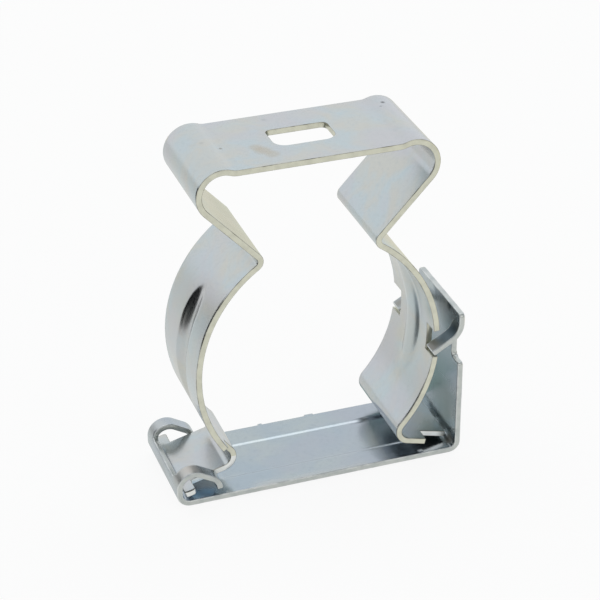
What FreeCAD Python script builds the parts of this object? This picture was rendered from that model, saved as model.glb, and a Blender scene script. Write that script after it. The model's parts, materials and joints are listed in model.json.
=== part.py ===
import FreeCAD, Part
import math
import os

os.makedirs("parts", exist_ok=True)

# Spring strip of the clip and of the strap
strip_width = 18.0
strip_thickness = 1.0

# Back plate: half of its flat, the low step up to each corner, and the screw slot
plate_half = 13.4
corner_rise = 0.45
step_radius = 3.5
corner_radius = 4.0
slot_length = 10.4
slot_width = 6.2
slot_corner = 2.3

# Legs, waists and arms; slopes are in degrees below level, radii are at the middle of the strip
leg_slope = 47.0
leg_length = 12.4
waist_radius = 1.2
arm_slope = 35.0
arm_radius = 24.0
mouth_slope = 49.0
mouth_radius = 2.1
lip_slope = 14.5

# Stiffening bead pressed inward along each arm
bead_middle = 5.0
bead_depth = 1.0
bead_groove_radius = 4.0
bead_bow_radius = 45.0
bead_sweep = 36.0

# Left lip: narrow neck from a shoulder on the arm, and the two lugs that the strap turns on
neck_start = -35.0
neck_length = 6.1
lug_length = 1.9
lug_setback = 0.1

# Right arm and lip: latch notches in both edges, and the narrow tongue beyond the lip's shoulder
notch_top = 4.0
notch_bottom = -7.9
tongue_shoulder = 3.4
tongue_length = 4.9
tongue_inset = 2.7

# Strap: the bend round the lugs, the end curb, and the hooks that wrap the lugs
pivot_bend = 1.4
curb_rise = 1.0
curb_lean = 20.0
hook_width = 2.6
hook_gap = 0.3
hook_radius = 2.5
hook_slope = 30.0
hook_run = 2.3
hook_tip_slope = 80.0
hook_tip = 0.5
root_radius = 0.7

# Strap: pressed floor panel and the stubs left where it was cut from its band
panel_depth = 0.3
panel_margin = 4.2
panel_draft = 0.5
panel_left = 6.5
panel_right = 6.5
stub_reach = 0.35
left_stub = 0.9
right_stub = 1.7
stub_spacing = 9.1
stub_offset = -1.4

# Strap: wall, neck, thumb bar and the two latch fingers
wall_gap = 0.8
wall_bend = 1.5
shoulder_height = 17.8
shoulder_round = 0.6
finger_width = 2.8
finger_gap = 0.4
finger_slope = 30.0
finger_radius = 3.6
finger_drop = 0.5
latch_clearance = 0.1
thumb_bar = 1.7
thumb_round = 0.8

half = strip_thickness / 2
edge = strip_width / 2


def ahead(pose, length):
    x, z, heading = pose
    angle = math.radians(heading)
    return x + length * math.cos(angle), z + length * math.sin(angle), heading


def bent(pose, radius, heading):
    x, z, start = pose
    side = radius if heading > start else -radius
    a, b = math.radians(start), math.radians(heading)
    return x + side * (math.sin(b) - math.sin(a)), z - side * (math.cos(b) - math.cos(a)), heading


# A run is straight with one value and a bend with a radius and the heading it ends on
def trace(pose, moves):
    runs = []
    for move in moves:
        if len(move) == 1:
            stops = [pose, ahead(pose, move[0])]
        else:
            radius, heading = move
            stops = [pose, bent(pose, radius, (pose[2] + heading) / 2), bent(pose, radius, heading)]
        runs.append(stops)
        pose = stops[-1]
    return runs


def mirrored(runs):
    return [[(-x, z, 180 - heading) for x, z, heading in stops] for stops in runs]


def beside(pose, side):
    x, z, heading = pose
    angle = math.radians(heading)
    return FreeCAD.Vector(x - side * half * math.sin(angle), 0, z + side * half * math.cos(angle))


def face_line(stops, side):
    points = [beside(stop, side) for stop in stops]
    if len(points) == 2:
        return Part.makeLine(*points)
    return Part.Arc(*points).toShape()


def strip(runs, y0, y1):
    first, last = runs[0][0], runs[-1][-1]
    lines = [face_line(stops, 1) for stops in runs]
    lines.append(Part.makeLine(beside(last, 1), beside(last, -1)))
    lines += [face_line(stops, -1) for stops in reversed(runs)]
    lines.append(Part.makeLine(beside(first, -1), beside(first, 1)))
    face = Part.Face(Part.Wire(Part.__sortEdges__(lines)))
    face.translate(FreeCAD.Vector(0, y0, 0))
    return face.extrude(FreeCAD.Vector(0, y1 - y0, 0))


def centred(runs, width):
    return strip(runs, -width / 2, width / 2)


def both_edges(runs, inner, outer):
    return [strip(runs, inner, outer), strip(runs, -outer, -inner)]


def joined(solids):
    whole = solids[0].fuse(solids[1:]).removeSplitter()
    return whole.Solids[0]


def box(x0, x1, y0, y1, z0, z1):
    return Part.makeBox(x1 - x0, y1 - y0, z1 - z0, FreeCAD.Vector(x0, y0, z0))


def rectangle(x0, x1, y0, y1, z):
    corners = [(x0, y0), (x1, y0), (x1, y1), (x0, y1), (x0, y0)]
    return Part.makePolygon([FreeCAD.Vector(x, y, z) for x, y in corners])


# Clip, hanging from its back plate, whose top is at height 0
step_angle = math.degrees(math.acos(1 - corner_rise / (2 * step_radius)))
plate_to_waist = [
    (plate_half,),
    (step_radius, step_angle),
    (step_radius, 0.0),
    (corner_radius, leg_slope - 180),
    (leg_length,),
    (waist_radius, -arm_slope),
]
mouth_heading = mouth_slope - 180
side_runs = trace((0.0, -half, 0.0), plate_to_waist)
waist_end = side_runs[-1][-1]
arm_x = waist_end[0] - arm_radius * math.sin(math.radians(arm_slope))
arm_z = waist_end[1] - arm_radius * math.cos(math.radians(arm_slope))

right_body = side_runs + trace(waist_end, [(arm_radius, notch_top - 90)])
right_notch = trace(right_body[-1][-1], [(arm_radius, notch_bottom - 90)])
right_lower = trace(
    right_notch[-1][-1],
    [(arm_radius, mouth_heading), (mouth_radius, -lip_slope), (tongue_shoulder,)],
)
tongue = trace(right_lower[-1][-1], [(tongue_length,)])

left_body = side_runs + trace(waist_end, [(arm_radius, neck_start - 90)])
neck = trace(
    left_body[-1][-1],
    [(arm_radius, mouth_heading), (mouth_radius, -lip_slope), (neck_length,)],
)
lug = trace(neck[-1][-1], [(lug_length,)])

neck_width = strip_width - 2 * (hook_width + hook_gap)
notch_depth = finger_width + finger_gap
clip = joined([
    centred(right_body, strip_width),
    centred(right_notch, strip_width - 2 * notch_depth),
    centred(right_lower, strip_width),
    centred(tongue, strip_width - 2 * tongue_inset),
    centred(mirrored(left_body), strip_width),
    centred(mirrored(neck), neck_width),
    centred(mirrored(lug), strip_width - 2 * lug_setback),
])

slot_box = box(-slot_length / 2, slot_length / 2, -slot_width / 2, slot_width / 2, -strip_thickness, 0)
upright = [line for line in slot_box.Edges if abs(line.tangentAt(line.FirstParameter).z) > 0.5]
clip = clip.cut(slot_box.makeFillet(slot_corner, upright))

# Each bead is a bowed round groove outside, and the same groove one thickness larger inside
arm_outside = arm_radius + half
bow_out = arm_outside + bead_groove_radius - bead_depth
cross = FreeCAD.Vector(0, 1, 0)


def bead_sweep_solid(centre, angle, radius):
    toward = FreeCAD.Vector(math.cos(math.radians(angle)), 0, math.sin(math.radians(angle)))
    bow_centre = centre + toward * (bow_out - bead_bow_radius)
    ring = Part.makeCircle(radius, bow_centre + toward * bead_bow_radius, cross.cross(toward))
    disc = Part.Face(Part.Wire(ring))
    disc.rotate(bow_centre, cross, -bead_sweep / 2)
    return disc.revolve(bow_centre, cross, bead_sweep)


for side in (1, -1):
    centre = FreeCAD.Vector(side * arm_x, 0, arm_z)
    angle = bead_middle if side > 0 else 180 - bead_middle
    core = Part.makeCylinder(arm_radius, strip_width, centre - cross * edge, cross)
    ridge = bead_sweep_solid(centre, angle, bead_groove_radius + strip_thickness).common(core)
    groove = bead_sweep_solid(centre, angle, bead_groove_radius)
    clip = clip.fuse(ridge).cut(groove)
clip = clip.removeSplitter().Solids[0]

# Strap, hung on the lugs
pivot_x, pivot_z, pivot_heading = ahead(mirrored(lug)[-1][0], lug_length / 2)
pivot_radius = pivot_bend + half
floor_top = pivot_z - pivot_bend
floor_middle = floor_top - half
wall_x = tongue[-1][-1][0] + wall_gap + half
floor_run = wall_x - wall_bend - pivot_x
wall_run = shoulder_height - half - wall_bend

# The finger's lower tip corner stays above the notch's end, and its upper one swings clear of that end
finger_angle = math.radians(finger_slope)
notch_angle = math.radians(notch_bottom)
notch_out_x = arm_x + arm_outside * math.cos(notch_angle)
notch_out_z = arm_z + arm_outside * math.sin(notch_angle)
swing = math.hypot(notch_out_x - pivot_x, notch_out_z - pivot_z) + latch_clearance
tip_z = right_notch[-1][-1][1] + finger_drop + half * math.cos(finger_angle)
upper_z = tip_z + half * math.cos(finger_angle)
upper_x = pivot_x + math.sqrt(swing ** 2 - (upper_z - pivot_z) ** 2)
tip_x = upper_x + half * math.sin(finger_angle)
finger_turn_x = wall_x - finger_radius * (1 - math.sin(finger_angle))
finger_run = (finger_turn_x - tip_x) / math.cos(finger_angle)
bar_z = tip_z + finger_run * math.sin(finger_angle) + finger_radius * math.cos(finger_angle)

end_curb = trace(
    (pivot_x, floor_middle, 180.0),
    [(pivot_radius, 90.0), (curb_rise,), (hook_radius, 90 - curb_lean)],
)
curb_top = end_curb[-1][-1]
base = trace((pivot_x, floor_middle, 0.0), [(floor_run,), (wall_bend, 90.0), (wall_run,)])
wall_end = base[-1][-1]
wall_neck = trace(wall_end, [(bar_z - wall_end[1],)])
bar = trace(wall_neck[-1][-1], [(thumb_bar,)])
hook = trace(
    curb_top,
    [(hook_radius, -hook_slope), (hook_run,), (hook_radius, -hook_tip_slope), (hook_tip,)],
)
finger = trace((wall_x, bar_z, -90.0), [(finger_radius, finger_slope - 180), (finger_run,)])

floor_low = floor_top - strip_thickness
panel_x0 = pivot_x + panel_left
panel_x1 = wall_x - panel_right
panel_y = edge - panel_margin


def pressing(z):
    upper = rectangle(panel_x0, panel_x1, -panel_y, panel_y, z)
    lower = rectangle(
        panel_x0 + panel_draft,
        panel_x1 - panel_draft,
        panel_draft - panel_y,
        panel_y - panel_draft,
        z - panel_depth,
    )
    return Part.makeLoft([upper, lower], True, True)


stubs_x = (pivot_x + wall_x) / 2 + stub_offset
stubs = []
for offset, length in ((-stub_spacing / 2, left_stub), (stub_spacing / 2, right_stub)):
    x0 = stubs_x + offset - length / 2
    stubs.append(box(x0, x0 + length, edge - stub_reach, edge + stub_reach, floor_low, floor_top))

strap = joined(
    [centred(base, strip_width), centred(end_curb, strip_width), centred(bar, strip_width)]
    + [centred(wall_neck, strip_width - 2 * finger_width)]
    + both_edges(hook, edge - hook_width, edge)
    + both_edges(finger, edge - finger_width, edge)
    + stubs
    + [pressing(floor_low)]
)
strap = strap.cut(pressing(floor_top))

# Rounded roots, where the hooks leave the curb and the neck leaves the wall
roots = []
for line in strap.Edges:
    middle = line.CenterOfMass
    hook_root = FreeCAD.Vector(curb_top[0], edge - hook_width, curb_top[1])
    neck_root = FreeCAD.Vector(wall_x, edge - finger_width, wall_end[1])
    across = FreeCAD.Vector(middle.x, abs(middle.y), middle.z)
    if min(across.distanceToPoint(hook_root), across.distanceToPoint(neck_root)) < 0.01:
        roots.append(line)
strap = strap.makeFillet(root_radius, roots).Solids[0]

# Rounded corners of the thumb bar and of the wall's shoulders
for height, radius in ((bar[-1][-1][1], thumb_round), (wall_end[1], shoulder_round)):
    corner = FreeCAD.Vector(wall_x, edge, height)
    lines = []
    for line in strap.Edges:
        middle = line.CenterOfMass
        if FreeCAD.Vector(middle.x, abs(middle.y), middle.z).distanceToPoint(corner) < 0.01:
            lines.append(line)
    strap = strap.makeFillet(radius, lines).Solids[0]

# The assembly stands on the pressed panel, with the strap's length centred
stand = FreeCAD.Vector(-(pivot_x - pivot_radius + wall_x) / 2, 0, panel_depth - floor_low)
for name, solid in (("spring_clip", clip), ("closing_strap", strap)):
    solid.translate(stand)
    solid.exportStep("parts/" + name + ".step")
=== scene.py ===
import json
import math
import bpy
from mathutils import Matrix, Vector


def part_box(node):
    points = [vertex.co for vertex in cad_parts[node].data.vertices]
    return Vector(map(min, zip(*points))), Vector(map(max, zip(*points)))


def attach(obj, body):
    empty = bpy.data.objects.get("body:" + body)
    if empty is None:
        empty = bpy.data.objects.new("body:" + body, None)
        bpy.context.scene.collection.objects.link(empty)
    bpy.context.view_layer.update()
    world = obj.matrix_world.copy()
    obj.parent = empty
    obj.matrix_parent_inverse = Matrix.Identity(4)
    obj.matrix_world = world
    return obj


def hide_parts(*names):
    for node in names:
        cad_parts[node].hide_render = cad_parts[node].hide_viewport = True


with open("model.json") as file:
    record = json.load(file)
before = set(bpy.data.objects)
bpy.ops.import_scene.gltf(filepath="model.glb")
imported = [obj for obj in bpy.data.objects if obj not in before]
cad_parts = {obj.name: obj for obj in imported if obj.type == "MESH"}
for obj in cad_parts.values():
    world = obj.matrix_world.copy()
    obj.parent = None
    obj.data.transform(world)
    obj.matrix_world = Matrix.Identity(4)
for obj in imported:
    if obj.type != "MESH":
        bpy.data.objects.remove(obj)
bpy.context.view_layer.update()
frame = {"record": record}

mm = 0.001
near = 0.01                                    # mm, places closer than this count as the same
mounts = {mount["name"]: Vector(mount["pos_m"]) / mm for mount in frame["record"]["mounts"]}


def linearColour(hexText):
    parts = [int(hexText[i:i + 2], 16) / 255 for i in (1, 3, 5)]
    return [c / 12.92 if c <= 0.04045 else ((c + 0.055) / 1.055) ** 2.4 for c in parts] + [1.0]


# adds a node with its settings; each socket gets a value, or a link where the value is another socket
def addNode(tree, kind, sockets=None, **settings):
    node = tree.nodes.new(kind)
    for name, value in settings.items():
        setattr(node, name, value)
    for key, value in (sockets or {}).items():
        if isinstance(value, bpy.types.NodeSocket):
            tree.links.new(value, node.inputs[key])
        else:
            node.inputs[key].default_value = value
    return node


def newMaterial(name):
    material = bpy.data.materials.new(name)
    material.use_nodes = True
    material.node_tree.nodes.clear()
    return material, material.node_tree


# Zinc electroplated bright on rolled spring steel, then passivated. The plating keeps the strip's fine rolling
# lines and blurs what it mirrors; the passive film clouds it with faint blue, rose and straw tints.
clipZincLook = {
    "name": "zincPlatedSpringSteel",
    "cool": "#C2CCCF", "straw": "#CBCBC5", "rose": "#C8C8CC",
    "cloud": 6.0, "bloom": 11.0,               # mm across the clouds of straw and of rose
    "line": 0.12,                              # mm between rolling lines, drawn coarser than the real 0.02
    "lineRun": 14.0,                           # mm that a line runs
    "grain": 0.35,                             # mm, the plating's orange peel
    "pit": 0.6, "pitFrom": 0.52, "pitColour": "#B2B8BA",
    "roughness": 0.2, "roughLines": 0.06, "roughClouds": 0.05,
    "dull": 0.1,                               # roughness that each stain and each painted spot adds
    "bump": 0.0010,                            # mm of height
    "stainsAndPaintedLight": [                                # stains and painted light: place in mm, radius, colour, strength
        ((-8.6, -2.3, 60.9), 1.6, "#BFB5A2", 0.5),        # smear beside the slot
        ((-7.9, -3.7, 60.9), 1.9, "#BCB19D", 0.55),
        ((-7.0, -5.4, 60.9), 1.7, "#BFB5A2", 0.5),
        ((-14.0, -0.8, 60.9), 0.45, "#938D82", 0.7),      # specks on the plate
        ((-16.4, 1.3, 61.2), 0.9, "#A9ADAE", 0.4),
        ((-4.2, 7.0, 60.9), 0.8, "#A9ADAE", 0.4),
        ((15.9, 5.9, 61.2), 0.55, "#606165", 0.9),
        ((15.1, 4.6, 61.2), 0.4, "#93979B", 0.7),
        ((-11.5, -5.0, 52.0), 9.5, "#CAC8B8", 0.7),       # painted warm reflection of the table on the left leg's inner face
        ((-11.5, 5.0, 52.0), 9.5, "#CAC8B8", 0.7),
    ],
}
# The same plating on the strap, from a bluer bath: it is darker, paler on the hooks and the front edge and darker
# at the finger tips, with a painted blue reflection inside the near hook and painted shade on the thumb bar, low on
# the wall and along its foot.
strapZincLook = {
    "name": "zincPlatedStrapSteel",
    "cool": "#AEBAC2", "straw": "#B6BFC1", "rose": "#B3B9C1",
    "cloud": 8.0, "bloom": 13.0,
    "line": 0.14, "lineRun": 20.0,
    "grain": 0.4,
    "pit": 0.8, "pitFrom": 0.54, "pitColour": "#9CA7AE",
    "roughness": 0.19, "roughLines": 0.04, "roughClouds": 0.04, "dull": 0.2,
    "bump": 0.0007,
    "stainsAndPaintedLight": [
        ((-25.0, -7.7, 6.5), 4.2, "#C6C6C2", 0.85),       # hooks and curb, paler
        ((-22.8, -7.7, 7.6), 3.2, "#DCD6CF", 0.9),
        ((-25.0, 7.7, 6.5), 4.2, "#C8CBCB", 0.85),
        ((-26.0, 0.0, 2.5), 4.0, "#C0C5C5", 0.6),
        ((-21.6, -7.3, 2.6), 2.6, "#86BCE2", 0.95),       # painted blue reflection inside the near hook
        ((-19.4, -7.3, 2.6), 2.6, "#86BCE2", 0.95),
        *(((x, -10.2, 1.4), 3.6, "#C8CAC8", 0.7)          # paler front edge, from in front of it
          for x in (-10.0, -7.6, -5.2, -2.8, -0.4, 2.0, 4.4, 6.8)),
        ((20.4, -7.6, 21.4), 2.4, "#8A867D", 0.85),       # tips of the fingers
        ((20.4, 7.6, 21.4), 2.2, "#9A968E", 0.8),
        ((24.5, -3.0, 7.0), 9.0, "#A2B3AF", 0.7),         # painted shade low on the wall, greenish
        ((21.8, -7.5, 27.0), 5.0, "#26323B", 0.9),        # painted shade on the thumb bar and the near finger
        ((21.8, 0.0, 27.5), 5.0, "#4A5862", 0.8),
        ((22.8, -7.6, 23.6), 3.6, "#55646A", 0.8),
        ((24.4, -7.0, 1.6), 2.4, "#6A675E", 0.85),        # painted shade along the foot of the wall
        ((24.4, -3.0, 1.8), 2.6, "#77807F", 0.8),
        ((24.4, 1.0, 1.8), 2.6, "#77807F", 0.7),
    ],
}
# for both: the noise levels between which a tint comes in, and how much of it shows at most
zincFilm = {
    "strawFrom": 0.38, "strawTo": 0.62,
    "roseFrom": 0.45, "roseTo": 0.65, "roseMost": 0.8,
    "pitRise": 0.2, "pitMost": 0.2,
    "spotCore": 0.7, "spotEnd": 1.4,         # of a spot's radius, of which the clouds take about half
    "shift": (0.031, 0.017, 0.043),            # metres, so that rose and pits don't follow the straw clouds
}


def zincFace(look):
    material, tree = newMaterial(look["name"])
    place = addNode(tree, "ShaderNodeTexCoord").outputs["Object"]
    cloud = addNode(tree, "ShaderNodeTexNoise", {
        "Vector": place, "Scale": 1 / (look["cloud"] * mm), "Detail": 3.0, "Roughness": 0.55, "Distortion": 0.6})
    moved = addNode(tree, "ShaderNodeVectorMath", {0: place, 1: zincFilm["shift"]}, operation="ADD")
    bloom = addNode(tree, "ShaderNodeTexNoise", {
        "Vector": moved.outputs[0], "Scale": 1 / (look["bloom"] * mm), "Detail": 2.0, "Distortion": 0.4})
    # rolling lines run round the bends with the strip, so they only change across it
    along, across = 1 / (look["lineRun"] * mm), 1 / (look["line"] * mm)
    drawn = addNode(tree, "ShaderNodeMapping", {"Vector": place, "Scale": (along, across, along)})
    lines = addNode(tree, "ShaderNodeTexNoise", {"Vector": drawn.outputs[0], "Scale": 1.0, "Detail": 2.0})
    grain = addNode(tree, "ShaderNodeTexNoise", {
        "Vector": place, "Scale": 1 / (look["grain"] * mm), "Detail": 2.0})
    pits = addNode(tree, "ShaderNodeTexNoise", {
        "Vector": moved.outputs[0], "Scale": 1 / (look["pit"] * mm), "Detail": 1.0})

    tint = addNode(tree, "ShaderNodeMapRange", {
        "Value": cloud.outputs[0], "From Min": zincFilm["strawFrom"], "From Max": zincFilm["strawTo"]})
    colour = addNode(tree, "ShaderNodeMix", {
        0: tint.outputs[0], 6: linearColour(look["cool"]), 7: linearColour(look["straw"])}, data_type="RGBA")
    blush = addNode(tree, "ShaderNodeMapRange", {
        "Value": bloom.outputs[0], "From Min": zincFilm["roseFrom"], "From Max": zincFilm["roseTo"],
        "To Max": zincFilm["roseMost"]})
    colour = addNode(tree, "ShaderNodeMix", {
        0: blush.outputs[0], 6: colour.outputs[2], 7: linearColour(look["rose"])}, data_type="RGBA")
    pitted = addNode(tree, "ShaderNodeMapRange", {
        "Value": pits.outputs[0], "From Min": look["pitFrom"], "From Max": look["pitFrom"] + zincFilm["pitRise"],
        "To Max": zincFilm["pitMost"]})
    colour = addNode(tree, "ShaderNodeMix", {
        0: pitted.outputs[0], 6: colour.outputs[2], 7: linearColour(look["pitColour"])}, data_type="RGBA")
    lined = addNode(tree, "ShaderNodeMath", {
        0: lines.outputs[0], 1: look["roughLines"], 2: look["roughness"] - look["roughLines"] / 2},
        operation="MULTIPLY_ADD")
    rough = addNode(tree, "ShaderNodeMath", {
        0: cloud.outputs[0], 1: look["roughClouds"], 2: lined.outputs[0]}, operation="MULTIPLY_ADD")
    # stains and painted spots of light and shade are duller and have ragged outlines: the distance to each is
    # shaken by the clouds
    for spot, radius, stainAndLightColour, strength in look["stainsAndPaintedLight"]:
        reach = radius * mm
        off = addNode(tree, "ShaderNodeVectorMath", {0: place, 1: Vector(spot) * mm}, operation="DISTANCE")
        ragged = addNode(tree, "ShaderNodeMath", {
            0: cloud.outputs[0], 1: reach, 2: off.outputs["Value"]}, operation="MULTIPLY_ADD")
        cover = addNode(tree, "ShaderNodeMapRange", {
            "Value": ragged.outputs[0], "From Min": reach * zincFilm["spotCore"],
            "From Max": reach * zincFilm["spotEnd"], "To Min": strength, "To Max": 0.0},
            interpolation_type="SMOOTHSTEP")
        colour = addNode(tree, "ShaderNodeMix", {
            0: cover.outputs[0], 6: colour.outputs[2], 7: linearColour(stainAndLightColour)}, data_type="RGBA")
        rough = addNode(tree, "ShaderNodeMath", {
            0: cover.outputs[0], 1: look["dull"], 2: rough.outputs[0]}, operation="MULTIPLY_ADD")
    height = addNode(tree, "ShaderNodeMath", {0: lines.outputs[0], 1: grain.outputs[0]}, operation="ADD")
    bump = addNode(tree, "ShaderNodeBump", {
        "Height": height.outputs[0], "Strength": 1.0, "Distance": look["bump"] * mm})
    shader = addNode(tree, "ShaderNodeBsdfPrincipled", {
        "Base Color": colour.outputs[2], "Metallic": 1.0, "Roughness": rough.outputs[0], "Normal": bump.outputs[0]})
    addNode(tree, "ShaderNodeOutputMaterial", {"Surface": shader.outputs[0]})
    return material


# Sheared edge of the strip, plated with the rest: torn steel under thin zinc, so it is duller; its straw-cream tone
# is a painted warm reflection of what lies in front.
# The cut sides of the clip's lips are whiter, a painted highlight, and the strap's edges are greyer.
clipShearLook = {"name": "clipShearedEdge", "pale": "#E0DFCE", "dull": "#D5D4C4", "roughness": 0.32}
lipHighlightLook = {"name": "clipLipEdge", "pale": "#FAFBFA", "dull": "#F2F3F1", "roughness": 0.34}
strapShearLook = {"name": "strapShearedEdge", "pale": "#CDD0CD", "dull": "#C0C5C3", "roughness": 0.3}
shearGrain = {
    "tear": 0.3, "patch": 1.5,                 # mm across the torn grain and the duller patches
    "patchFrom": 0.4, "patchTo": 0.62,
    "roughSpread": 0.16, "bump": 0.004,        # the second in mm of height
}


def shearedEdge(look):
    material, tree = newMaterial(look["name"])
    place = addNode(tree, "ShaderNodeTexCoord").outputs["Object"]
    tear = addNode(tree, "ShaderNodeTexNoise", {
        "Vector": place, "Scale": 1 / (shearGrain["tear"] * mm), "Detail": 3.0, "Roughness": 0.6})
    patch = addNode(tree, "ShaderNodeTexNoise", {
        "Vector": place, "Scale": 1 / (shearGrain["patch"] * mm), "Detail": 2.0})
    amount = addNode(tree, "ShaderNodeMapRange", {
        "Value": patch.outputs[0], "From Min": shearGrain["patchFrom"], "From Max": shearGrain["patchTo"]})
    colour = addNode(tree, "ShaderNodeMix", {
        0: amount.outputs[0], 6: linearColour(look["pale"]), 7: linearColour(look["dull"])}, data_type="RGBA")
    spread = shearGrain["roughSpread"]
    rough = addNode(tree, "ShaderNodeMath", {
        0: tear.outputs[0], 1: spread, 2: look["roughness"] - spread / 2}, operation="MULTIPLY_ADD")
    bump = addNode(tree, "ShaderNodeBump", {
        "Height": tear.outputs[0], "Strength": 1.0, "Distance": shearGrain["bump"] * mm})
    shader = addNode(tree, "ShaderNodeBsdfPrincipled", {
        "Base Color": colour.outputs[2], "Metallic": 1.0, "Roughness": rough.outputs[0], "Normal": bump.outputs[0]})
    addNode(tree, "ShaderNodeOutputMaterial", {"Surface": shader.outputs[0]})
    return material


# Burr along the shear line, on the rounded edges: on the clip it turns darker in long faint dashes; on the strap it
# is paler than the face.
clipBurrLook = {"name": "clipShearBurr", "zinc": "#C6C5BB", "steel": "#7F7C73", "roughness": 0.5}
strapBurrLook = {"name": "strapShearBurr", "zinc": "#DDE0DF", "steel": "#BFC3C3", "roughness": 0.35}
burrDash = {"length": 3.0, "bareFrom": 0.46, "bareTo": 0.62}   # mm, and the noise levels between which the second tone shows


def burrLine(look):
    material, tree = newMaterial(look["name"])
    place = addNode(tree, "ShaderNodeTexCoord").outputs["Object"]
    dash = addNode(tree, "ShaderNodeTexNoise", {
        "Vector": place, "Scale": 1 / (burrDash["length"] * mm), "Detail": 3.0, "Roughness": 0.6})
    bare = addNode(tree, "ShaderNodeMapRange", {
        "Value": dash.outputs[0], "From Min": burrDash["bareFrom"], "From Max": burrDash["bareTo"]})
    colour = addNode(tree, "ShaderNodeMix", {
        0: bare.outputs[0], 6: linearColour(look["zinc"]), 7: linearColour(look["steel"])}, data_type="RGBA")
    shader = addNode(tree, "ShaderNodeBsdfPrincipled", {
        "Base Color": colour.outputs[2], "Metallic": 1.0, "Roughness": look["roughness"]})
    addNode(tree, "ShaderNodeOutputMaterial", {"Surface": shader.outputs[0]})
    return material


# the face comes first, and then these slots; only the clip has the last
edgeSlot, burrSlot, lipHighlightSlot = 1, 2, 3
clipFinish = [zincFace(clipZincLook), shearedEdge(clipShearLook), burrLine(clipBurrLook), shearedEdge(lipHighlightLook)]
strapFinish = [zincFace(strapZincLook), shearedEdge(strapShearLook), burrLine(strapBurrLook)]
print("materials done")

edgeSegments, cornerSegments, slotSegments = 2, 5, 10      # faces round a cut edge, a corner and a slot corner
smoothAngle, normalWeight = 60, 60                         # degrees; over 50, large faces lead the shading


def editOnly(piece):
    bpy.ops.object.select_all(action="DESELECT")
    piece.select_set(True)
    bpy.context.view_layer.objects.active = piece
    bpy.ops.object.mode_set(mode="EDIT")


# selects the edges or polygons that pass a test
def pick(piece, kind, test):
    bpy.ops.mesh.select_all(action="DESELECT")
    bpy.ops.mesh.select_mode(type={"edges": "EDGE", "polygons": "FACE"}[kind])
    bpy.ops.object.mode_set(mode="OBJECT")
    for part in getattr(piece.data, kind):
        part.select = bool(test(part))
    bpy.ops.object.mode_set(mode="EDIT")


# the two ends of an edge, in mm
def ends(piece, e):
    return [piece.data.vertices[v].co / mm for v in e.vertices]


# selects the edges whose ends both pass a test
def pickRow(piece, test):
    pick(piece, "edges", lambda e: all(test(p) for p in ends(piece, e)))


def applyModifier(piece, kind, **settings):
    modifier = piece.modifiers.new(kind, kind)
    for name, value in settings.items():
        setattr(modifier, name, value)
    bpy.ops.object.modifier_apply(modifier=modifier.name)


# a flat sheet with its rows and columns at given places
def addSheet(name, rows, columns, z):
    bpy.ops.object.select_all(action="DESELECT")
    bpy.ops.mesh.primitive_grid_add(x_subdivisions=len(rows) - 1, y_subdivisions=len(columns) - 1, size=1.0)
    sheet = bpy.context.active_object
    sheet.name = name
    for vertex in sheet.data.vertices:
        row = round((vertex.co.x + 0.5) * (len(rows) - 1))
        column = round((vertex.co.y + 0.5) * (len(columns) - 1))
        vertex.co = Vector((rows[row], columns[column], z)) * mm
    return sheet


# draws the selected row of edges on along straight runs (length,) and bends (radius, heading they end on),
# and gives the pose it ends on
def drawRow(pose, moves, side, stepDegrees):
    x, z, heading = pose
    for move in moves:
        start = math.radians(heading)
        if len(move) == 1:
            x, z = x + move[0] * math.cos(start), z + move[0] * math.sin(start)
            ahead = Vector((math.cos(start) * side, 0, math.sin(start))) * move[0]
            bpy.ops.mesh.extrude_region_move(TRANSFORM_OT_translate={"value": ahead * mm})
        else:
            radius, heading = move
            stop = math.radians(heading)
            turn = math.copysign(radius, stop - start)
            centre = Vector(((x - turn * math.sin(start)) * side, 0, z + turn * math.cos(start)))
            steps = max(3, math.ceil(math.degrees(abs(stop - start)) / stepDegrees))
            bpy.ops.mesh.spin(steps=steps, angle=(stop - start) * side, center=centre * mm, axis=(0, 1, 0))
            x, z = x + turn * (math.sin(stop) - math.sin(start)), z - turn * (math.cos(stop) - math.cos(start))
    return x, z, heading


# nought below zero and rising above it, with a soft turn between
def softTurn(value):
    return math.log1p(math.exp(value))


def giveFinish(piece, finish):
    for material in finish:
        piece.data.materials.append(material)


# gives a drawn sheet its thickness, with its cut sides in the edge's material, and leaves it in edit mode
def thicken(sheet, thickness):
    applyModifier(sheet, "SOLIDIFY", thickness=thickness * mm, offset=0.0, use_even_offset=True,
                  use_quality_normals=True, material_offset_rim=edgeSlot)
    editOnly(sheet)
    bpy.ops.mesh.select_all(action="SELECT")
    bpy.ops.mesh.normals_make_consistent(inside=False)


# rounds the sharp edges of a strip piece, gives the rounding to the burr, and smooths the rest
def finishStrip(piece, shape):
    editOnly(piece)
    bpy.ops.mesh.select_mode(type="EDGE")
    bpy.ops.mesh.select_all(action="DESELECT")
    bpy.ops.mesh.edges_select_sharp(sharpness=math.radians(shape["sharpFrom"]))
    bpy.ops.mesh.bevel(offset=shape["edgeRound"] * mm, segments=edgeSegments, clamp_overlap=False,
                       material=burrSlot)
    bpy.ops.object.mode_set(mode="OBJECT")
    bpy.ops.object.shade_smooth_by_angle(angle=math.radians(smoothAngle))
    applyModifier(piece, "WEIGHTED_NORMAL", keep_sharp=True, weight=normalWeight)


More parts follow.
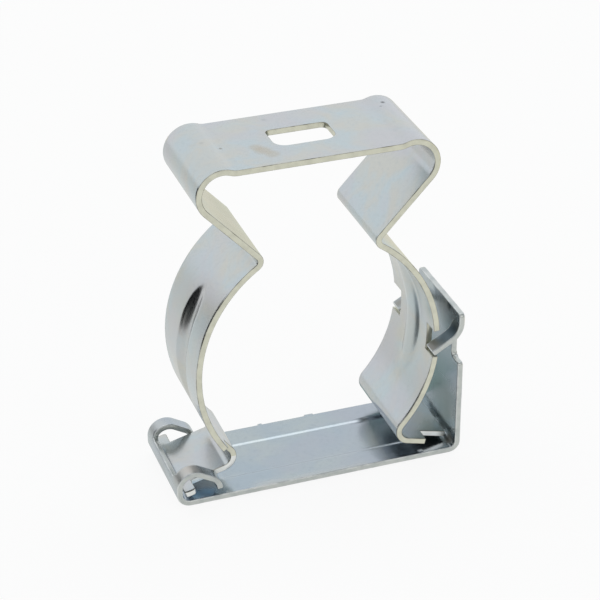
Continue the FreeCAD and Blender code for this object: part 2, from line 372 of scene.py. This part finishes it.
# The clip: one strip, drawn out both ways from the back plate. Lengths in mm, slopes and arm places in degrees.
clipShape = {
    "width": 18.0, "thickness": 1.0,
    "plateHalf": 13.4, "cornerRise": 0.449, "stepRadius": 3.5, "cornerRadius": 4.0,
    "legSlope": 47.0, "legLength": 12.4, "waistRadius": 1.2,
    "armSlope": 35.0, "armRadius": 24.0, "mouthSlope": 49.0, "mouthRadius": 2.1, "lipSlope": 14.5,
    "rightLip": (3.4, 4.9), "leftLip": (6.1, 1.9),         # run up to the tongue or the lugs, and theirs
    "notch": (4.0, -7.9), "shoulder": -35.0,               # on the arm: ends of the notches, top of the neck
    "neckHalf": 6.1, "notchHalf": 5.8, "tongueHalf": 6.3, "lugSetback": 0.1,
    "beadMiddle": 5.2, "beadDepth": 1.0, "beadRadius": 4.1, "beadReach": 5.5,
    "beadSpan": 28.0, "beadBlunt": 3,                      # half its run in degrees, and how blunt it ends
    "beadSoftness": (0.06, 0.2),                           # of the left and the right rims
    "leftBeadSkew": (-0.6, -0.03),                         # off the middle, and more of it per degree up
    "slotLength": 10.4, "slotWidth": 6.2, "slotNearCorner": 2.1, "slotFarCorner": 1.0,
    "lugRound": 0.65, "shoulderRound": 0.9,
    "lugDrop": 4.0, "shoulderPlay": 0.4,                   # how far under and how near the shoulder these are
    "highlightBelow": 6.5,                                    # the lips' cut sides get the painted highlight up to here
    "innerColumns": 24, "outerColumns": 5, "armStep": 1.0, "bendStep": 6.0,
    "edgeRound": 0.08, "sharpFrom": 40,
}


def buildClip(shape):
    half, edge, armRadius = shape["thickness"] / 2, shape["width"] / 2, shape["armRadius"]
    notchHalf, neckHalf, tongueHalf = shape["notchHalf"], shape["neckHalf"], shape["tongueHalf"]
    middle, plateZ = mounts["screw_slot"].x, mounts["screw_slot"].z - half
    plateEnd, bendStep = shape["plateHalf"] - near, shape["bendStep"]
    # columns of the sheet, with one on each side line of the notches, neck and tongue
    inner, outer = shape["innerColumns"], shape["outerColumns"]
    core = [notchHalf * (i / inner - 1) for i in range(2 * inner + 1)]
    rim = [neckHalf] + [tongueHalf + (edge - tongueHalf) * i / outer for i in range(outer + 1)]
    columns = [-y for y in reversed(rim)] + core + rim
    clip = addSheet("sprungClip", [-shape["plateHalf"], shape["plateHalf"]], columns, plateZ)
    editOnly(clip)

    riseAngle = math.degrees(math.acos(1 - shape["cornerRise"] / (2 * shape["stepRadius"])))
    toWaist = [
        (shape["stepRadius"], riseAngle),
        (shape["stepRadius"], 0.0),
        (shape["cornerRadius"], shape["legSlope"] - 180),
        (shape["legLength"],),
        (shape["waistRadius"], -shape["armSlope"]),
    ]
    armPlaces = (*shape["notch"], shape["shoulder"], shape["mouthSlope"] - 90)
    toMouth = [(armRadius, place - 90) for place in armPlaces]
    slope = math.radians(shape["armSlope"])
    lipStart = {}
    for side, lip in ((1, shape["rightLip"]), (-1, shape["leftLip"])):
        pickRow(clip, lambda p: p.x * side > plateEnd)
        pose = drawRow((shape["plateHalf"], plateZ, 0.0), toWaist, side, bendStep)
        armX, armZ = pose[0] - armRadius * math.sin(slope), pose[1] - armRadius * math.cos(slope)
        pose = drawRow(pose, toMouth, side, shape["armStep"])
        lipBend = [(shape["mouthRadius"], -shape["lipSlope"]), (lip[0],)]
        lipStart[side] = drawRow(pose, lipBend, side, bendStep)
        drawRow(lipStart[side], [(lip[1],)], side, bendStep)

    # what the punch takes off: notches and tongue sides on the right, neck sides on the left
    notchLow, notchHigh = sorted(armZ + armRadius * math.sin(math.radians(place)) for place in shape["notch"])
    shoulderZ = armZ + armRadius * math.sin(math.radians(shape["shoulder"]))
    tongueX, lugX = lipStart[1][0], -lipStart[-1][0]

    def punched(face):
        x, y, z = face.center / mm
        if x > 0 and notchLow < z < notchHigh:
            return abs(y) > notchHalf
        if x > tongueX and z < shoulderZ:
            return abs(y) > tongueHalf
        return lugX < x < 0 and z < shoulderZ and abs(y) > neckHalf

    pick(clip, "polygons", punched)
    bpy.ops.mesh.delete(type="FACE")
    bpy.ops.object.mode_set(mode="OBJECT")
    radius, (offMiddle, askew) = shape["beadRadius"], shape["leftBeadSkew"]
    for vertex in clip.data.vertices:
        x, y, z = vertex.co / mm
        if x < lugX + near and z < shoulderZ and abs(y) > edge - near:
            vertex.co.y -= math.copysign(shape["lugSetback"] * mm, y)
        # beads, pressed inward to a round groove with soft rims and blunt ends
        side = math.copysign(1, x)
        out = Vector((x - side * armX, 0, z - armZ))
        if abs(out.length - armRadius) < near and abs(y) < shape["beadReach"]:
            place = math.degrees(math.atan2(out.z, out.x * side) - math.radians(shape["beadMiddle"]))
            if side < 0:
                y -= offMiddle + askew * place
            runOut = shape["beadDepth"] * (1 - abs(place / shape["beadSpan"]) ** shape["beadBlunt"])
            depth = runOut - radius + math.sqrt(max(0.0, radius ** 2 - y ** 2))
            soft = shape["beadSoftness"][side > 0]
            vertex.co -= out.normalized() * soft * softTurn(depth / soft) * mm
    clip.data.transform(Matrix.Translation((middle * mm, 0, 0)))
    giveFinish(clip, clipFinish)
    thicken(clip, shape["thickness"])

    # rounded corners of the lugs, and of the shoulders that the neck leaves
    def acrossThickness(e, low, high, side):
        a, b = ends(clip, e)
        inPlace = all(low < p.z < high and p.x < 0 and abs(p.y) > side - near for p in (a, b))
        return inPlace and abs((a - b).length / shape["thickness"] - 1) < 0.1 and abs(a.y - b.y) < near

    lugTop, lugSide, play = shoulderZ - shape["lugDrop"], edge - shape["lugSetback"], shape["shoulderPlay"]
    pick(clip, "edges", lambda e: acrossThickness(e, 0, lugTop, lugSide))
    bpy.ops.mesh.bevel(offset=shape["lugRound"] * mm, segments=cornerSegments)
    pick(clip, "edges", lambda e: acrossThickness(e, shoulderZ - play, shoulderZ + play, edge))
    bpy.ops.mesh.bevel(offset=shape["shoulderRound"] * mm, segments=cornerSegments)
    # the cut sides of the neck and the tongue get a painted highlight, a whiter edge material than the others
    bpy.ops.object.mode_set(mode="OBJECT")
    for face in clip.data.polygons:
        x, y, z = face.center / mm
        if face.material_index == edgeSlot and z < shape["highlightBelow"] and (x > tongueX or x < 0):
            face.material_index = lipHighlightSlot
    editOnly(clip)
    # one face above and one below on the flat of the plate, so that the slot cuts clean
    pick(clip, "polygons", lambda f: abs(f.normal.z) > 0.99 and abs(f.center.x / mm - middle) < plateEnd
         and f.center.z / mm > plateZ - shape["thickness"])
    bpy.ops.mesh.dissolve_faces()
    bpy.ops.object.mode_set(mode="OBJECT")

    bpy.ops.object.select_all(action="DESELECT")
    bpy.ops.mesh.primitive_cube_add(size=1.0)
    punch = bpy.context.active_object
    size = Vector((shape["slotLength"], shape["slotWidth"], 4 * shape["thickness"])) * mm
    punch.data.transform(Matrix.Translation(Vector((middle, 0, plateZ)) * mm) @ Matrix.Diagonal((*size, 1)))
    editOnly(punch)
    slotSide = shape["slotWidth"] / 2 - near

    def slotCorner(e, side):
        a, b = ends(punch, e)
        return min(a.y * side, b.y * side) > slotSide and abs(a.z - b.z) > shape["thickness"]

    for side, radius in ((-1, shape["slotNearCorner"]), (1, shape["slotFarCorner"])):
        pick(punch, "edges", lambda e: slotCorner(e, side))
        bpy.ops.mesh.bevel(offset=radius * mm, segments=slotSegments)
    bpy.ops.object.mode_set(mode="OBJECT")
    giveFinish(punch, clipFinish)
    for face in punch.data.polygons:
        face.material_index = edgeSlot
    bpy.context.view_layer.objects.active = clip
    applyModifier(clip, "BOOLEAN", operation="DIFFERENCE", solver="EXACT", object=punch)
    bpy.data.objects.remove(punch)
    finishStrip(clip, shape)
    return clip


clip = buildClip(clipShape)
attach(clip, "clip")
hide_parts("spring_clip")
print("clip done:", len(clip.data.polygons), "faces")

# The strap: one strip, drawn out both ways from its floor. Lengths in mm, slopes in degrees.
strapShape = {
    "width": 18.0, "thickness": 1.0,
    "pivotBend": 1.4, "curbRise": 1.0, "curbLean": 20.0,
    "hookWidth": 2.6, "hookRadius": 2.5, "hookSlope": 30.0, "hookRun": 2.3, "hookTipSlope": 80.0, "hookTip": 0.5,
    "rootRound": 0.7,
    "panelDepth": 0.3, "panelMargin": 4.2, "panelDraft": 0.74, "panelInset": 6.5,
    "panelCorner": 1.0, "panelEase": 0.1,
    "panelRows": (-0.5, -0.2, 0.1, 0.35, 0.65, 0.9, 1.2, 1.5),   # down its sides, as parts of the draft
    "stubReach": 0.35, "stubs": ((-5.95, 0.9), (3.15, 1.7)),     # place from the middle, length
    "wallBend": 1.5, "shoulderHeight": 17.8, "shoulderRound": 0.6,
    "fingerWidth": 2.8, "fingerSlope": 30.0, "fingerRadius": 3.6,
    "fingerTip": (19.9, 20.9),                                   # x, z of the middle of the sheet
    "thumbBar": 1.7, "thumbRound": 0.8,
    "bendStep": 6.0, "edgeRound": 0.18, "sharpFrom": 50,
}


def buildStrap(shape):
    half, edge, bendStep = shape["thickness"] / 2, shape["width"] / 2, shape["bendStep"]
    hinge = Vector(frame["record"]["behaviour"]["joints"][0]["pos_m"]) / mm
    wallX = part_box("closing_strap")[1][0] / mm - half
    floorZ = hinge.z - shape["pivotBend"] - half
    neckHalf, hookInner, root = edge - shape["fingerWidth"], edge - shape["hookWidth"], shape["rootRound"]
    draft, inset, panelY = shape["panelDraft"], shape["panelInset"], edge - shape["panelMargin"]
    panelX0, panelX1 = hinge.x + inset, wallX - inset
    # rows and columns close together down the panel's sides, and on the stubs, roots, neck and hooks
    down = [draft * part for part in shape["panelRows"]]
    stubs = [((hinge.x + wallX) / 2 + place, length) for place, length in shape["stubs"]]
    rows = [hinge.x] + [panelX0 + step for step in down]
    rows += [place + length * side / 2 for place, length in stubs for side in (-1, 1)]
    rows += [panelX1 - step for step in reversed(down)] + [wallX - shape["wallBend"]]
    outer = [panelY - step for step in reversed(down)]
    outer += [hookInner - root, neckHalf, hookInner, neckHalf + root, edge]
    columns = [-y for y in reversed(outer)] + outer
    strap = addSheet("hingedStrap", rows, columns, floorZ)
    editOnly(strap)

    # right end: wall, neck with rounded roots, thumb bar, and a finger bent back on each side of the neck
    pickRow(strap, lambda p: p.x > rows[-1] - near)
    wallRun = shape["shoulderHeight"] - half - shape["wallBend"]
    pose = drawRow((rows[-1], floorZ, 0.0), [(shape["wallBend"], 90.0), (wallRun,)], 1, bendStep)
    shoulderZ = pose[1]
    pickRow(strap, lambda p: p.z > shoulderZ - near and abs(p.y) < neckHalf + root + near)
    pose = drawRow(pose, [(root / 4,)] * 4, 1, bendStep)
    slope, (tipX, tipZ) = math.radians(shape["fingerSlope"]), shape["fingerTip"]
    fingerRun = (wallX - shape["fingerRadius"] * (1 - math.sin(slope)) - tipX) / math.cos(slope)
    barZ = tipZ + fingerRun * math.sin(slope) + shape["fingerRadius"] * math.cos(slope)
    pickRow(strap, lambda p: p.z > pose[1] - near and abs(p.y) < neckHalf + near)
    drawRow(pose, [(barZ - pose[1],), (shape["thumbBar"],)], 1, bendStep)
    finger = [(shape["fingerRadius"], shape["fingerSlope"] - 180), (fingerRun,)]
    for side in (-1, 1):
        pickRow(strap, lambda p: p.z > barZ - near and p.y * side > neckHalf - near)
        bpy.ops.mesh.extrude_region_move(TRANSFORM_OT_translate={"value": (0, side * (edge - neckHalf) * mm, 0)})
        pickRow(strap, lambda p: abs(p.z - barZ) < near and p.y * side > neckHalf - near)
        drawRow((wallX, barZ, -90.0), finger, 1, bendStep)

    # left end: bend round the lugs, curb, and a hook with a rounded root at each side
    pickRow(strap, lambda p: p.x < hinge.x + near and p.z < floorZ + near)
    curb = [(shape["pivotBend"] + half, 90.0), (shape["curbRise"],), (shape["hookRadius"], 90 + shape["curbLean"])]
    curbEnd = drawRow((-hinge.x, floorZ, 0.0), curb, -1, bendStep)
    rootTurn = math.degrees(root / shape["hookRadius"])
    hook = [(shape["hookRadius"], 180 + shape["hookSlope"]), (shape["hookRun"],),
            (shape["hookRadius"], 180 + shape["hookTipSlope"]), (shape["hookTip"],)]
    for side in (-1, 1):
        pickRow(strap, lambda p: p.x < hinge.x and p.z > curbEnd[1] - near and p.y * side > hookInner - root - near)
        rootEnd = drawRow(curbEnd, [(shape["hookRadius"], curbEnd[2] + rootTurn)], -1, bendStep)
        pickRow(strap, lambda p: p.x < 0 and abs(p.z - rootEnd[1]) < near and abs(p.x + rootEnd[0]) < near
                and p.y * side > hookInner - near)
        drawRow(rootEnd, hook, -1, bendStep)

    # cut-off stubs on the back edge
    for place, length in stubs:
        pickRow(strap, lambda p: p.y > edge - near and abs(p.x - place) < length / 2 + near and p.z < floorZ + near)
        bpy.ops.mesh.extrude_region_move(TRANSFORM_OT_translate={"value": (0, shape["stubReach"] * mm, 0)})
    bpy.ops.object.mode_set(mode="OBJECT")
    # roots: the columns beside each one are drawn in to a quarter round
    for vertex in strap.data.vertices:
        x, y, z = vertex.co / mm
        along = z - shoulderZ
        if x > 0 and -near < along < root + near and neckHalf < abs(y) < neckHalf + root + near:
            limit = neckHalf + root - math.sqrt(max(0, root ** 2 - (root - along) ** 2))
            vertex.co.y = math.copysign(min(abs(y), limit), y) * mm
        along = math.hypot(x + curbEnd[0], z - curbEnd[1])
        if x < 0 and z > curbEnd[1] - near and along < root + near and hookInner - root - near < abs(y) < hookInner:
            limit = hookInner - root + math.sqrt(max(0, root ** 2 - (root - along) ** 2))
            vertex.co.y = math.copysign(max(abs(y), limit), y) * mm
    editOnly(strap)
    bpy.ops.mesh.select_all(action="SELECT")
    bpy.ops.mesh.remove_doubles(threshold=near * mm)
    bpy.ops.mesh.normals_make_consistent(inside=False)
    bpy.ops.object.mode_set(mode="OBJECT")
    giveFinish(strap, strapFinish)
    thicken(strap, shape["thickness"])
    bpy.ops.object.mode_set(mode="OBJECT")
    # the panel, pressed down with sloping sides, eased creases and rounded corners
    corner, ease = shape["panelCorner"], shape["panelEase"]
    for vertex in strap.data.vertices:
        x, y, z = vertex.co / mm
        if z < floorZ + half + near:
            inX, inY = min(x - panelX0, panelX1 - x), panelY - abs(y)
            inside = corner - math.hypot(max(0, corner - inX), max(0, corner - inY))
            pressed = softTurn(inside / ease) - softTurn((inside - draft) / ease)
            vertex.co.z -= shape["panelDepth"] * pressed * ease / draft * mm
    editOnly(strap)
    for height, radius in ((barZ + shape["thumbBar"], shape["thumbRound"]), (shoulderZ, shape["shoulderRound"])):
        pickRow(strap, lambda p: p.x > 0 and abs(p.y) > edge - near and abs(p.z - height) < near)
        bpy.ops.mesh.bevel(offset=radius * mm, segments=cornerSegments)
    bpy.ops.object.mode_set(mode="OBJECT")
    finishStrip(strap, shape)
    return strap


strap = buildStrap(strapShape)
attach(strap, "strap")
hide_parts("closing_strap")
print("strap done:", len(strap.data.polygons), "faces")

# White studio paper, matt: it keeps the object's shadow, and shows white to the camera round it.
floorLook = {
    "size": 12.0,
    "paper": "#FAFAF8", "glow": "#FFFFFF",
    "mirrored": "#F0F1EF",                     # the tone that the metal shows of it
    "warmSide": "#F6F2DC",                     # and the warmer one of a band behind on the right
    "warmWay": (2, 1, 0),                      # the direction that the band's limits are measured along
    "warmFrom": 0.09, "warmTo": 0.15, "warmEnd": 0.4, "warmGone": 0.48,
    "whiteShare": 0.9,                         # how much of the floor shadows don't reach, as the camera sees it
    "mirrorShare": 0.75,                       # and as the metal sees it
}
bpy.ops.object.select_all(action="DESELECT")
bpy.ops.mesh.primitive_plane_add(size=floorLook["size"], location=(0, 0, 0))
floor = bpy.context.active_object
floor.name = "floor"
paper, tree = newMaterial("studioPaper")
path = addNode(tree, "ShaderNodeLightPath").outputs
mirrored = addNode(tree, "ShaderNodeMath", {
    0: path["Is Glossy Ray"], 1: path["Is Transmission Ray"]}, operation="ADD", use_clamp=True)
share = addNode(tree, "ShaderNodeMath", {
    0: mirrored.outputs[0], 1: floorLook["mirrorShare"]}, operation="MULTIPLY")
share = addNode(tree, "ShaderNodeMath", {
    0: path["Is Camera Ray"], 1: floorLook["whiteShare"], 2: share.outputs[0]}, operation="MULTIPLY_ADD")
across = addNode(tree, "ShaderNodeVectorMath", {
    0: addNode(tree, "ShaderNodeTexCoord").outputs["Object"], 1: floorLook["warmWay"]}, operation="DOT_PRODUCT")
warm = addNode(tree, "ShaderNodeMapRange", {
    "Value": across.outputs["Value"], "From Min": floorLook["warmFrom"], "From Max": floorLook["warmTo"]})
beyond = addNode(tree, "ShaderNodeMapRange", {
    "Value": across.outputs["Value"], "From Min": floorLook["warmEnd"], "From Max": floorLook["warmGone"],
    "To Min": 1.0, "To Max": 0.0})
band = addNode(tree, "ShaderNodeMath", {0: warm.outputs[0], 1: beyond.outputs[0]}, operation="MULTIPLY")
shown = addNode(tree, "ShaderNodeMix", {
    0: band.outputs[0], 6: linearColour(floorLook["mirrored"]), 7: linearColour(floorLook["warmSide"])},
    data_type="RGBA")
tone = addNode(tree, "ShaderNodeMix", {
    0: mirrored.outputs[0], 6: linearColour(floorLook["paper"]), 7: shown.outputs[2]}, data_type="RGBA")
glow = addNode(tree, "ShaderNodeMix", {
    0: mirrored.outputs[0], 6: linearColour(floorLook["glow"]), 7: shown.outputs[2]}, data_type="RGBA")
matt = addNode(tree, "ShaderNodeBsdfDiffuse", {"Color": tone.outputs[2]})
white = addNode(tree, "ShaderNodeEmission", {"Color": glow.outputs[2], "Strength": 1.0})
both = addNode(tree, "ShaderNodeMixShader", {0: share.outputs[0], 1: matt.outputs[0], 2: white.outputs[0]})
addNode(tree, "ShaderNodeOutputMaterial", {"Surface": both.outputs[0]})
floor.data.materials.append(paper)

# cards that only the metal mirrors: a black one standing on the left, and two lying behind the latch that are a
# painted shadow of the strap on the floor there
cardLook = {                                   # colour, and corners in metres
    "blackCard": ("#0E0F10", (
        (-0.1, 0, 0), (-0.1, 0.1, 0),
        (-0.11, 0, 0.07), (-0.11, 0.11, 0.07))),
    "tealCard": ("#B5C9C6", (
        (0.012, 0.0096, 0.0002), (0.026, 0.0096, 0.0002),
        (0.012, 0.031, 0.0002), (0.026, 0.031, 0.0002))),
    "navyCard": ("#26323A", (
        (0.027, 0.013, 0.0002), (0.04, 0.013, 0.0002),
        (0.027, 0.044, 0.0002), (0.04, 0.044, 0.0002))),
}
for name, (colour, corners) in cardLook.items():
    bpy.ops.object.select_all(action="DESELECT")
    bpy.ops.mesh.primitive_plane_add(size=1.0, location=(0, 0, 0))
    card = bpy.context.active_object
    card.name = name
    for vertex in card.data.vertices:
        vertex.co = corners[(vertex.co.x > 0) + 2 * (vertex.co.y > 0)]
    dull, tree = newMaterial(name + "Paper")
    matt = addNode(tree, "ShaderNodeBsdfDiffuse", {"Color": linearColour(colour)})
    addNode(tree, "ShaderNodeOutputMaterial", {"Surface": matt.outputs[0]})
    card.data.materials.append(dull)
    card.visible_camera = card.visible_diffuse = card.visible_shadow = False
print("floor done")

# softboxes: place and the point they face in metres, width, height, power in watts, colour
lampLook = {
    "overhead": ((0.05, 0.17, 0.7), (0.05, 0.17, 0), 0.7, 0.165, 0.4, "#FFFFFF"),
    "front": ((0.25, -0.8, 0.55), (0, 0, 0.03), 0.6, 0.4, 0.8, "#FFFAF0"),
}
for name, (place, aim, width, height, power, colour) in lampLook.items():
    data = bpy.data.lights.new(name, "AREA")
    data.shape = "RECTANGLE"
    data.size, data.size_y = width, height
    data.energy = power
    data.color = linearColour(colour)[:3]
    lamp = bpy.data.objects.new(name, data)
    lamp.location = place
    lamp.rotation_euler = (Vector(aim) - Vector(place)).to_track_quat("-Z", "Y").to_euler()
    bpy.context.scene.collection.objects.link(lamp)

# the room that the metal mirrors: white behind the object, greyer towards the camera's side
worldLook = {"back": "#F5F8FB", "front": "#B4B7BA", "from": -0.3, "to": 0.5}
world = bpy.data.worlds.new("studio")
bpy.context.scene.world = world
world.use_nodes = True
tree = world.node_tree
tree.nodes.clear()
direction = addNode(tree, "ShaderNodeTexCoord").outputs["Generated"]
backward = addNode(tree, "ShaderNodeSeparateXYZ", {0: direction}).outputs["Y"]
amount = addNode(tree, "ShaderNodeMapRange", {
    "Value": backward, "From Min": worldLook["from"], "From Max": worldLook["to"]}, interpolation_type="SMOOTHSTEP")
room = addNode(tree, "ShaderNodeMix", {
    0: amount.outputs[0], 6: linearColour(worldLook["front"]), 7: linearColour(worldLook["back"])},
    data_type="RGBA")
background = addNode(tree, "ShaderNodeBackground", {"Color": room.outputs[2], "Strength": 1.0})
addNode(tree, "ShaderNodeOutputWorld", {"Surface": background.outputs[0]})
print("light done")

cameraLook = {
    "eye": (-99.84, -281.0, 202.1), "aim": (-0.61, 0.0, 30.56),   # mm
    "roll": -0.23,                                                # degrees
    "lens": 124.3, "sensor": 36.0, "clipStart": 10.0,             # mm
}
eye, aim = Vector(cameraLook["eye"]) * mm, Vector(cameraLook["aim"]) * mm
camera = bpy.data.objects.new("camera", bpy.data.cameras.new("camera"))
camera.data.lens = cameraLook["lens"]
camera.data.sensor_width = cameraLook["sensor"]
camera.data.clip_start = cameraLook["clipStart"] * mm
camera.location = eye
roll = Matrix.Rotation(math.radians(cameraLook["roll"]), 3, "Z")
camera.rotation_euler = ((aim - eye).to_track_quat("-Z", "Y").to_matrix() @ roll).to_euler()
bpy.context.scene.collection.objects.link(camera)
bpy.context.scene.camera = camera
bpy.context.scene.view_settings.view_transform = "Standard"
print("camera done")
